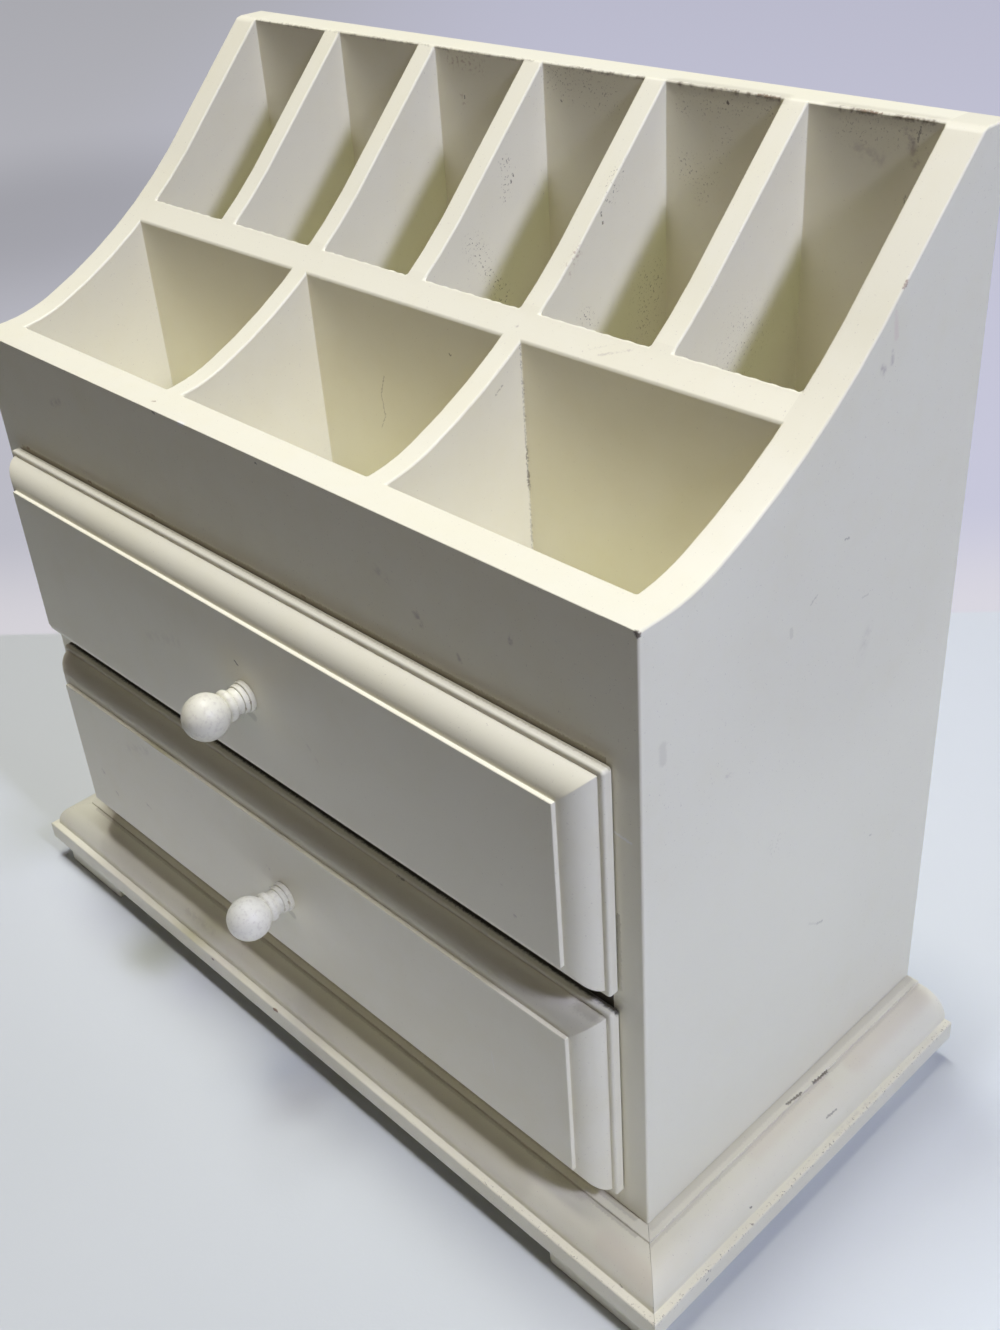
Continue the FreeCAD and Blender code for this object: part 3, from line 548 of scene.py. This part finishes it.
# The moulding's outline: (projection past the case, height).
BASE_PROFILE = [(-25, FLOOR_GAP), (17, FLOOR_GAP), *bow((17, FLOOR_GAP), (20, 11.5), 3, 1, 6)[1:],
                *bow((20, 18.2), (19.4, 18.8), 0.6, 1, 3),
                *bow((17.35, 18.8), (17, 19.15), 0.35, -1, 3),
                *bow((17, 19.15), (6.7, 29.1), 10.3, 1, 16)[1:],
                (4.7, 29.12), (4.5, 29.3), *bow((4.5, 29.7), (4.2, 30), 0.3, 1, 3), (-25, 30)]
BASE_MARKS = {
    "base_board_front": [
        (CHIP, (-12.5, -76.2, 18.3), (-10.6, -76.2, 18.5), 0.9, 0.9),
        (CHIP, (-55, -76.2, 17.6), (-53.8, -76.2, 17.8), 0.7, 0.8),
        (GRIME_AND_SHADE, (168, -73.5, 19.5), (168.6, -73.5, 19.3), 0.6, 0.7),
        (CHIP, (184.6, -76, 12.5), (184.6, -76, 9.5), 1.1, 0.8),
        # A broad darker band along the quarter round under the drawers: painted shade, the drawer
        # fronts' shadow.
        (SOILED_AND_SHADE, (-140, -70, 26), (118, -70, 26), 10, 0.22),
        # A darker line in the crease between the fillet and the quarter round: dirt and painted
        # shade.
        (SOILED_AND_SHADE, (-164, -61.2, 29.2), (164, -61.2, 29.2), 1.2, 0.38),
        (SOILED_AND_SHADE, (-160, -57, 30), (160, -57, 30), 1.6, 0.4),
        (SPECKS, (100, -75.8, 18.6), (184, -75.8, 18.6), 2.2, 0.55),
        # Darker where the lower drawer's shadow ends on the quarter round at the right: painted
        # shade.
        (SOILED_AND_SHADE, (127, -62, 26), (141, -61, 27.5), 4.5, 0.4),
        (SOILED_AND_SHADE, (141, -61, 27.5), (151, -63.5, 25), 3.5, 0.35),
        (GRIME_AND_SHADE, (171.9, -63.1, 29), (185, -76.2, 18.4), 0.3, 0.4),
        (SMUDGE_AND_SHADE, (-80, -70, 25), (-60, -70, 25), 2.5, 0.3),
        (AGED, (158, -68, 26), (176, -69, 25), 6, 0.35),
    ],
    "base_board_right": [
        (GRIME_AND_SHADE, (182.5, -67.6, 20.2), (182.6, -67, 20.2), 0.6, 0.7),
        (GRIME_AND_SHADE, (185, -50.8, 15), (185, -50.2, 15), 0.6, 0.7),
        (GRIME_AND_SHADE, (181, -24, 22), (181.3, -23.2, 21.8), 0.6, 0.7),
        (SOILED_AND_SHADE, (169.9, -61, 29.3), (169.9, 92, 29.3), 1.2, 0.28),
        (SOILED_AND_SHADE, (166, -56, 30), (166, 92, 30), 2.0, 0.25),
        (GRIME_AND_SHADE, (168.3, 13.5, 30), (168.9, 20.5, 29.9), 0.7, 0.75),
        (GRIME_AND_SHADE, (169.4, 27.4, 29.7), (169.6, 34.8, 29.5), 0.75, 0.9),
        (GRIME_AND_SHADE, (179.5, 21, 25.2), (180, 26.5, 25.2), 0.5, 0.5),
        (AGED, (173, 45, 27), (173, 88, 27), 6, 0.4),
        (AGED, (172, -10, 28), (172, 30, 28), 4, 0.3),
        (SPECKS, (184.6, -76, 18.6), (184.6, 92, 18.6), 2.2, 0.6),
        (SMUDGE_AND_SHADE, (183.5, 20, 18.9), (183.5, 50, 18.9), 1.4, 0.2),
    ],
}


def base_board(name, ends, run):
    """One length of the moulding: each end is a function from projection to a point in plan."""
    rings = [[(*end(out), level) for out, level in BASE_PROFILE] for end in ends]
    piece = loft(f"painted_{name}", rings)
    shade(piece, MOULDED)
    piece.data.materials.append(enamel(f"enamel_{name}", run, BASE_MARKS.get(name, ())))
    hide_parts(name)
    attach(piece, "cabinet")


MITRE_CRACK = 0.06


def corner(side, shift):
    """The mitred end at one front corner, drawn back a hair by shift: the crack in the paint."""
    return lambda out: (side * (SIDE_OUT + out) + shift[0], FACE_Y - out + shift[1])


front_ends = [corner(-1, (MITRE_CRACK, 0)), corner(1, (-MITRE_CRACK, 0))]
base_board("base_board_front", front_ends, BRUSHED_X)
for side, word in ((-1, "left"), (1, "right")):
    side_ends = [corner(side, (0, MITRE_CRACK)), lambda out: (side * (SIDE_OUT + out), BACK_OUT)]
    base_board(f"base_board_{word}", side_ends, BRUSHED_Y)


# ---- the feet ----------------------------------------------------------------------------
# Four low softwood blocks glued under the base frame and painted with it.

FOOT_ROUND = 0.9
for name in ("foot_front_left", "foot_front_right", "foot_rear_left", "foot_rear_right"):
    (x0, y0, z0), (x1, y1, z1) = [corner_point / MM for corner_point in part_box(name)]
    foot = block(f"painted_{name}", (x0, x1), (y0, y1), (z0, z1))
    rounding = foot.modifiers.new("rounding", "BEVEL")
    rounding.width, rounding.segments = FOOT_ROUND * MM, 3
    settle(foot)
    shade(foot)
    foot.data.materials.append(enamel(f"enamel_{name}", BRUSHED_X))
    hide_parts(name)
    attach(foot, "cabinet")


# ---- the drawer fronts -------------------------------------------------------------------
# Overlay boards with a moulded edge worked all round: a rounded lip, a quirk, an ovolo and a
# square fillet up to the flat field. Enamelled like the case.

FRONT_BACK = -56.6
FRONT_HALF = (155.4, 41.4)
DRAWERS = {"lower_drawer": 81.0, "upper_drawer": 171.0}
# The moulded edge: (margin in from the board's edge, height over the board's back).
FRONT_EDGE = [(0.4, 0), (0, 0.4), *bow((0, 2.7), (0.9, 3.6), 0.9, -1, 6),
              (1.7, 3.6), (1.95, 3.45), (2.05, 3.6),
              *bow((2.05, 3.68), (11.05, 10.5), 9.3, -1, 16)[1:], (11.2, 10.62),
              *bow((11.2, 11.65), (11.55, 12), 0.35, -1, 4)]
FRONT_CORNER, LEAST_CORNER = 1.4, 0.3
FIELD_Y = -68.6
FRONT_MARKS = {
    "lower_drawer": [
        # The rear of the lower drawer's lip top, painted nearly black: painted shade under the
        # upper drawer.
        (GAP_SHADE, (-155, FRONT_BACK, 122.4), (155, FRONT_BACK, 122.4), 2.4, 0.97),
        # A lighter line along the field's fillet: a painted highlight.
        (PAINTED_LIGHT, (-142, -68.2, 110.9), (142, -68.2, 110.9), 0.9, 0.9),
        (SMUDGE_AND_SHADE, (-130, FIELD_Y, 73.5), (-129, FIELD_Y, 72.5), 1.5, 0.5),
        (SMUDGE_AND_SHADE, (-122, FIELD_Y, 65.5), (-121, FIELD_Y, 64.5), 1.2, 0.5),
        (SMUDGE_AND_SHADE, (-58, FIELD_Y, 99.2), (-56, FIELD_Y, 98.4), 1.2, 0.4),
        (SMUDGE_AND_SHADE, (-95.5, FIELD_Y, 73), (-93, FIELD_Y, 72.4), 1.4, 0.45),
        (SMUDGE_AND_SHADE, (-9.2, FIELD_Y, 90.2), (-7.8, FIELD_Y, 89.4), 1.1, 0.4),
        (FRESH, (109.4, FIELD_Y, 80.2), (110.4, FIELD_Y, 70.5), 0.35, 0.45),
        (SMUDGE_AND_SHADE, (-100, FIELD_Y, 100), (-84, FIELD_Y, 106), 4, 0.15),
        # A soft darker streak below and left of the knob: the knob's painted shadow.
        (GRIME_AND_SHADE, (-9, FIELD_Y - 0.1, 78), (3, FIELD_Y - 0.1, 73), 2.2, 0.25),
        (GRIME_AND_SHADE, (60, -60.3, 120.6), (63, -60.3, 120.6), 0.6, 0.5),
        # Darker on the top rail at the right, where the upper drawer's shadow ends: painted shade.
        (SOILED_AND_SHADE, (132, -62, 112), (145, -61, 119), 3.0, 0.5),
        (SOILED_AND_SHADE, (145, -61, 119), (150, -61, 119), 3.0, 0.5),
        (SMUDGE_AND_SHADE, (148, -63.5, 60), (148, -63.5, 64), 1, 0.3),
    ],
    "upper_drawer": [
        # The rear of the lip's top, darkened against the case: painted shade.
        (LIP_SHADE, (-155, -56.9, 212.4), (155, -56.9, 212.4), 1.5, 0.6),
        (GRIME_AND_SHADE, (-3.4, FIELD_Y, 183.6), (-2, FIELD_Y, 182.4), 0.5, 0.75),
        (SMUDGE_AND_SHADE, (121.8, FIELD_Y, 158.9), (122.2, FIELD_Y, 158.6), 1.2, 0.6),
        (SMUDGE_AND_SHADE, (126, FIELD_Y, 150.2), (126.4, FIELD_Y, 150), 1.0, 0.5),
        (SMUDGE_AND_SHADE, (149.7, -64.6, 184.6), (149.9, -64.6, 184.1), 0.9, 0.7),
        (SMUDGE_AND_SHADE, (146.2, -66, 164.8), (146.3, -66, 164.4), 0.8, 0.5),
        (SMUDGE_AND_SHADE, (146, -66, 143.8), (146.1, -66, 143.4), 0.9, 0.6),
        (SMUDGE_AND_SHADE, (151.5, -60.6, 198), (151.5, -60.6, 194), 0.8, 0.3),
        # A soft darker streak below and left of the knob: the knob's painted shadow.
        (GRIME_AND_SHADE, (-10, FIELD_Y - 0.1, 168), (2, FIELD_Y - 0.1, 163), 2.4, 0.2),
        (SMUDGE_AND_SHADE, (30, FIELD_Y, 168), (37, FIELD_Y, 160), 1.2, 0.2),
        (SMUDGE_AND_SHADE, (-60, FIELD_Y, 170), (-40, FIELD_Y, 176), 4, 0.12),
        # A dark line along the quirk under the lip: painted shade in the crease.
        (GRIME_AND_SHADE, (-154, -60.15, 209.6), (154, -60.15, 209.6), 0.35, 0.2),
        # A lighter band along the lip: painted light.
        (PAINTED_LIGHT, (-155, -59.8, 212.1), (155, -59.8, 212.1), 1.5, 0.9),
    ],
}


def rounded_corners(half_x, half_z, radius):
    """A rectangle's outline with rounded corners."""
    pieces = 6
    points = []
    for quarter, (right, up) in enumerate(((1, 1), (-1, 1), (-1, -1), (1, -1))):
        for step in range(pieces + 1):
            angle = math.pi / 2 * (quarter + step / pieces)
            points.append((right * (half_x - radius) + radius * math.cos(angle),
                           up * (half_z - radius) + radius * math.sin(angle)))
    return points


for drawer, middle in DRAWERS.items():
    rings = []
    for margin, depth in FRONT_EDGE:
        ring = rounded_corners(FRONT_HALF[0] - margin, FRONT_HALF[1] - margin,
                               max(FRONT_CORNER - margin, LEAST_CORNER))
        rings.append([(x, FRONT_BACK - depth, middle + z) for x, z in ring])
    front = loft(f"painted_{drawer}_front", rings)
    shade(front, MOULDED)
    finish = enamel(f"enamel_{drawer}_front", BRUSHED_X, FRONT_MARKS[drawer])
    front.data.materials.append(finish)
    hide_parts(f"{drawer}_front")
    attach(front, drawer)


# ---- the knobs ---------------------------------------------------------------------------
# Turned beech: two flat rings against the drawer, a hollow neck, a bead and a ball, painted
# before they were screwed on.

BALL_MIDDLE, BALL_RADIUS = 16.5, 8.2
ball = [(BALL_MIDDLE - BALL_RADIUS * math.cos(angle), BALL_RADIUS * math.sin(angle))
        for angle in map(math.radians, range(33, 180, 4))]
# The turned outline: (distance from the drawer, radius).
KNOB_PROFILE = [(0, 0.05), (0, 5.6), (0.2, 5.8),
                *bow((1.65, 5.8), (1.95, 5.5), 0.3, -1, 4), (1.97, 4.95), (2.17, 4.95), (2.2, 5.3),
                *bow((3.7, 5.3), (3.95, 5.05), 0.25, -1, 4), (3.97, 4.5), (4.17, 4.5), (4.2, 4.85),
                *bow((4.25, 4.9), (6.6, 5.0), 2.4, 1, 8)[1:], (6.62, 4.8), (6.75, 4.8),
                *bow((6.8, 5.1), (9.55, 4.75), 1.55, -1, 10)[1:], *ball, (24.69, 0.05)]
# Steps round a turned piece.
AROUND = 72
# Each knob's paint and where it has yellowed: the upper one darker so its lit top stays in range,
# the lower one lighter to lift it out of the upper drawer's shade: painted light and shade.
KNOB_LIT_AND_SHADED_TINTS = {"lower_drawer": ((0.93, 0.915, 0.81), (0.89, 0.865, 0.73)),
              "upper_drawer": ((0.81, 0.79, 0.665), (0.76, 0.73, 0.58))}
KNOB_WORN = 0.24
KNOB_MARKS = {
    drawer: [
        # A soiled, smudged patch on the lower left of the ball, its unlit side: painted shade.
        (SOILED_AND_SHADE, (-6.5, -87, middle - 3.5), (-3.5, -90, middle - 5.5), 3.2, 0.45),
        (SMUDGE_AND_SHADE, (-6.5, -87, middle - 4.5), (-3.5, -90, middle - 5.5), 2.2, 0.6),
        (SMUDGE_AND_SHADE, (-7, -88.5, middle - 1), (-5, -90.6, middle - 2), 1.6, 0.5),
        (CHIP, (5.2, -70.8, middle + 1.4), (5.5, -70.8, middle + 0.4), 0.45, 0.7),
        (CHIP, (5.1, -72.7, middle - 1), (4.9, -72.7, middle - 2), 0.4, 0.6),
        (GRIME_AND_SHADE, (5.5, -68.8, middle - 2.5), (3.8, -68.8, middle - 4.6), 0.45, 0.7),
    ] for drawer, middle in DRAWERS.items()
}


def turned(name, profile, y, z):
    """A piece turned about an axis along -Y; profile is (distance from y, radius)."""
    rings = [[(radius * math.cos(math.tau * step / AROUND), y - depth,
               z + radius * math.sin(math.tau * step / AROUND)) for step in range(AROUND)]
             for depth, radius in profile]
    return loft(name, rings)


for drawer, middle in DRAWERS.items():
    knob = turned(f"painted_{drawer}_knob", KNOB_PROFILE, FIELD_Y, middle)
    shade(knob, TURNED)
    finish = enamel(f"enamel_{drawer}_knob", BRUSHED_X, KNOB_MARKS[drawer], KNOB_LIT_AND_SHADED_TINTS[drawer],
                    KNOB_WORN)
    knob.data.materials.append(finish)
    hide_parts(f"{drawer}_knob")
    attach(knob, drawer)


# ---- the drawer boxes --------------------------------------------------------------------
# Four grooved walls of bare pine, pinned at the corners, and a thin ply bottom let into them.

PINE, PINE_LATE = (0.62, 0.43, 0.24), (0.43, 0.25, 0.11)
PLY, PLY_LATE = (0.60, 0.45, 0.28), (0.46, 0.31, 0.17)


def bare_wood(name, early, late, run, rings_per_metre):
    """Sanded wood: growth rings drawn out along the board, fine pores, a few darker streaks."""
    wood = Finish(name)
    sway = wood.noise(14, 2, stretch=run)
    grain = wood.noise(rings_per_metre, 3, stretch=run, offset=(1, 2, 3))
    pores = wood.noise(2600, 2, stretch=run, offset=(4, 1, 6))
    colour = wood.over(wood.between(grain + 0.25 * sway, 0.52, 0.78, 0, 0.8), early, late)
    colour = wood.over(wood.between(pores, 0.58, 0.75, 0, 0.35), colour, late)
    wood.fill(wood.surface, {
        "Base Color": colour, "Roughness": 0.62 + 0.15 * pores,
        "Normal": wood.bump(pores + grain * 0.6, 0.05)})
    return wood.material


GRAIN_X, GRAIN_Y = (0.03, 1, 1), (1, 0.03, 1)
PINE_WALL = (PINE, PINE_LATE, 260, 0.5)
PLY_SHEET = (PLY, PLY_LATE, 160, 0.3)
# Each board's grain, its colours, rings per metre and the width of its sanded edges.
BOX_BOARDS = {
    "sub_front": (GRAIN_X, *PINE_WALL),
    "back": (GRAIN_X, *PINE_WALL),
    "side_left": (GRAIN_Y, *PINE_WALL),
    "side_right": (GRAIN_Y, *PINE_WALL),
    "bottom": (GRAIN_X, *PLY_SHEET),
}
for drawer in DRAWERS:
    for word, (run, early, late, rings_per_metre, edge_width) in BOX_BOARDS.items():
        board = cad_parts[f"{drawer}_{word}"]
        finish = bare_wood(f"wood_{drawer}_{word}", early, late, run, rings_per_metre)
        board.data.materials.clear()
        board.data.materials.append(finish)
        weld = board.modifiers.new("one skin", "WELD")
        weld.merge_threshold = 0.01 * MM
        flat = board.modifiers.new("flat faces", "DECIMATE")
        flat.decimate_type, flat.angle_limit = "DISSOLVE", math.radians(1)
        rounding = board.modifiers.new("sanded edges", "BEVEL")
        rounding.width, rounding.segments = edge_width * MM, 2


# ---- the knob screws ---------------------------------------------------------------------
# Zinc-plated machine screws from inside the drawer: a pan head with a cross recess, and a
# threaded shank through both boards into the knob.

HEAD_SEAT, HEAD_TOP, SHANK_END = -48.1, -45.7, -78.6
THREAD_PITCH, THREAD_RADIUS, THREAD_DEPTH = 0.7, 2.0, 0.3
RECESS_DEPTH, RECESS_HALF = 1.3, (1.9, 0.4)
LIGHT_ZINC, DARK_ZINC = (0.62, 0.62, 0.6), (0.45, 0.45, 0.46)


def zinc(name):
    """Zinc plating: clouded, with fine scratches."""
    metal = Finish(name)
    cloud = metal.noise(700, 3)
    scratch = metal.noise(2500, 2, stretch=(1, 0.2, 1), offset=(1, 1, 1))
    metal.fill(metal.surface, {
        "Base Color": metal.over(metal.between(cloud, 0.35, 0.7), LIGHT_ZINC, DARK_ZINC),
        "Metallic": 1.0, "Roughness": 0.28 + 0.2 * cloud, "Normal": metal.bump(scratch, 0.01)})
    return metal.material


for drawer, middle in DRAWERS.items():
    turns = int((HEAD_SEAT - SHANK_END - 1) / THREAD_PITCH)
    thread = [(HEAD_TOP - HEAD_SEAT + THREAD_PITCH * (turn + part), THREAD_RADIUS - depth)
              for turn in range(turns) for part, depth in ((0.1, 0), (0.5, THREAD_DEPTH), (0.9, 0))]
    head = [(0, 0.05), (0.02, 1.6), (0.2, 2.6), (0.6, 3.4), (1.2, 3.85), (1.9, 4.0), (2.25, 4.0),
            (2.4, 3.9)]
    end = HEAD_TOP - SHANK_END
    tip = [(end - 0.5, 1.9), (end, 1.4), (end, 0.05)]
    screw = turned(f"steel_{drawer}_knob_screw", head + thread + tip, HEAD_TOP, middle)
    for half_x, half_z in (RECESS_HALF, RECESS_HALF[::-1]):
        slot = block("slot", (-half_x, half_x), (HEAD_TOP - RECESS_DEPTH, HEAD_TOP + 1),
                     (middle - half_z, middle + half_z))
        joinery(screw, slot, "DIFFERENCE")
        bpy.data.objects.remove(slot)
    shade(screw)
    screw.data.materials.append(zinc(f"zinc_{drawer}"))
    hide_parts(f"{drawer}_knob_screw")
    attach(screw, drawer)


# ---- the setting -------------------------------------------------------------------------
# A pale paper floor that turns into a lavender wall behind the piece, painted on the floor as light
# that only the camera sees; cool lamps high on the right, large soft ones overhead, weak fills in
# front and on the left, and two low strips for the light that the paper throws up.

def paper():
    """Pale matt paper. Light bounces off it only up to a little in front of the object, as at a
    table's edge, while the camera sees it go on, painted lighter to the right. Behind the object it
    becomes a wall's lavender grey, painted light that only the camera sees, lighter towards its
    foot and to the right, with a painted shadow on the left, and far out it gives off the same from
    any side.
    """
    sheet = Finish("paper")
    fibre = sheet.noise(900, 3)
    cloud = sheet.noise(3, 2, offset=(1, 1, 0))
    seen = sheet.node("ShaderNodeLightPath", out="Is Camera Ray")
    # Distances over the floor that the tints go by.
    away = sheet.vector("DOT_PRODUCT", sheet.place, (-0.6732, 0.7394, 0), out=1)
    right = sheet.vector("DOT_PRODUCT", sheet.place, (0.70, 0.716, 0), out=1)
    forward = sheet.vector("DOT_PRODUCT", sheet.place, (0, -1, 0), out=1)
    beside = sheet.vector("DOT_PRODUCT", sheet.place, (1, 0, 0), out=1)
    painted_shadow_spot = sheet.vector("DISTANCE", sheet.place, (-1.12, 0.46, 0), out=1)
    behind = sheet.between(away, 0.262, 0.266)
    far = sheet.between(sheet.vector("LENGTH", sheet.place, out=1), 0.6, 2.2)
    # The colour that the camera sees: a faint cloud, and painted light: lighter on the right, a
    # step lighter just right of the base, and lighter towards the wall.
    near = sheet.over(sheet.between(cloud, 0.3, 0.7), (0.62, 0.645, 0.655), (0.60, 0.63, 0.64))
    near = sheet.over(sheet.between(right, 0, 0.13), near, (0.715, 0.745, 0.76))
    near = sheet.over(sheet.between(beside, 0.186, 0.208), near, (0.80, 0.84, 0.865))
    colour = sheet.over(sheet.between(away, -0.1, 0.26), near, (0.74, 0.775, 0.82))
    colour = sheet.over(far, colour, (0.04, 0.04, 0.045))
    colour = sheet.over(behind, colour, (0.12, 0.12, 0.14))
    # The colour that it throws back, and the light that the wall and the far floor give off to the
    # camera alone: painted light, with a painted shadow spot on the left.
    bounced = sheet.over(sheet.between(forward, 0.24, 0.30), (0.62, 0.66, 0.68), (0.03, 0.03, 0.03))
    painted_glow = sheet.over(sheet.between(right, -0.6, 0.15), (0.38, 0.38, 0.41), (0.46, 0.46, 0.57))
    painted_glow = sheet.over(sheet.between(away, 0.26, 0.40, 0.8, 0), painted_glow, (0.60, 0.58, 0.61))
    # A painted shadow on the wall, left of the object.
    painted_glow = sheet.over(sheet.between(painted_shadow_spot, 0.05, 0.42, 0.6, 0), painted_glow, (0.22, 0.22, 0.24))
    painted_glow = sheet.over(behind, sheet.over(far, (0, 0, 0), (0.46, 0.46, 0.54)), painted_glow)
    painted_glow = sheet.over(seen, (0, 0, 0), painted_glow)
    sheet.fill(sheet.surface, {
        "Base Color": sheet.over(seen, bounced, colour), "Roughness": 0.75,
        "Normal": sheet.bump(fibre, 0.03), "Emission Color": painted_glow, "Emission Strength": 1.0})
    return sheet.material


SHEET = 4000
floor = mesh_piece("floor", [(-SHEET, -SHEET, 0), (SHEET, -SHEET, 0), (SHEET, SHEET, 0),
                             (-SHEET, SHEET, 0)], [(0, 1, 2, 3)])
floor.data.materials.append(paper())


def soft_lamp(name, place, target, size, watts, colour, height=None):
    """A square lamp, or a strip where a height is given, turned to its target; metres."""
    lamp = bpy.data.lights.new(name, "AREA")
    lamp.size, lamp.energy, lamp.color = size, watts, colour
    if height:
        lamp.shape, lamp.size_y = "RECTANGLE", height
    stand = bpy.data.objects.new(name, lamp)
    bpy.context.scene.collection.objects.link(stand)
    stand.location = place
    stand.rotation_euler = (Vector(place) - Vector(target)).to_track_quat("Z", "Y").to_euler()
    stand.visible_camera = False


MIDDLE, LEFT_PART = (0, 0, 0.2), (-0.2, 0.06, 0.2)
soft_lamp("side_lamp", (1.575, -0.069, 1.431), MIDDLE, 0.21, 22.9, (0.690, 0.706, 1.0))
soft_lamp("upper_side_lamp", (1.281, -0.112, 1.732), MIDDLE, 0.28, 1.9, (0.79, 1.0, 0.28))
soft_lamp("overhead_lamp", (0, 0, 2.4), MIDDLE, 0.5, 16.5, (1.0, 0.946, 0.79))
soft_lamp("left_overhead_lamp", (-0.4, 0.12, 2.4), LEFT_PART, 0.5, 19.6, (0.922, 0.993, 1.0))
soft_lamp("left_lamp", (-0.5, 0, 1.4), (-0.25, 0, 0.2), 0.5, 2.25, (1.0, 0.844, 0.898))
soft_lamp("front_fill", (0.3, -1.6, 0.9), MIDDLE, 0.8, 1.41, (1.0, 0.77, 0.68))
soft_lamp("floor_bounce", (0, -0.26, 0.003), (0, -0.26, 1), 0.6, 0.0835, (0.862, 0.952, 1.0), 0.12)
soft_lamp("near_bounce", (0, -0.14, 0.003), (0, -0.14, 1), 0.5, 0.0252, (0.857, 0.714, 1.0), 0.1)
world = bpy.data.worlds.new("world")
bpy.context.scene.world = world
world.use_nodes = True
air = world.node_tree.nodes["Background"]
air.inputs["Color"].default_value = (0.42, 0.42, 0.50, 1)
glance = world.node_tree.nodes.new("ShaderNodeLightPath")
world.node_tree.links.new(glance.outputs["Is Camera Ray"], air.inputs["Strength"])

camera = bpy.data.objects.new("camera", bpy.data.cameras.new("camera"))
bpy.context.scene.collection.objects.link(camera)
bpy.context.scene.camera = camera
camera.data.sensor_width, camera.data.lens = 36, 40.2786
camera.location = (0.36580, -0.28079, 0.44965)
camera.rotation_euler = [math.radians(turn) for turn in (56.3866, 3.7292, 45.7336)]
bpy.context.scene.view_settings.view_transform = "Standard"

bpy.context.view_layer.update()
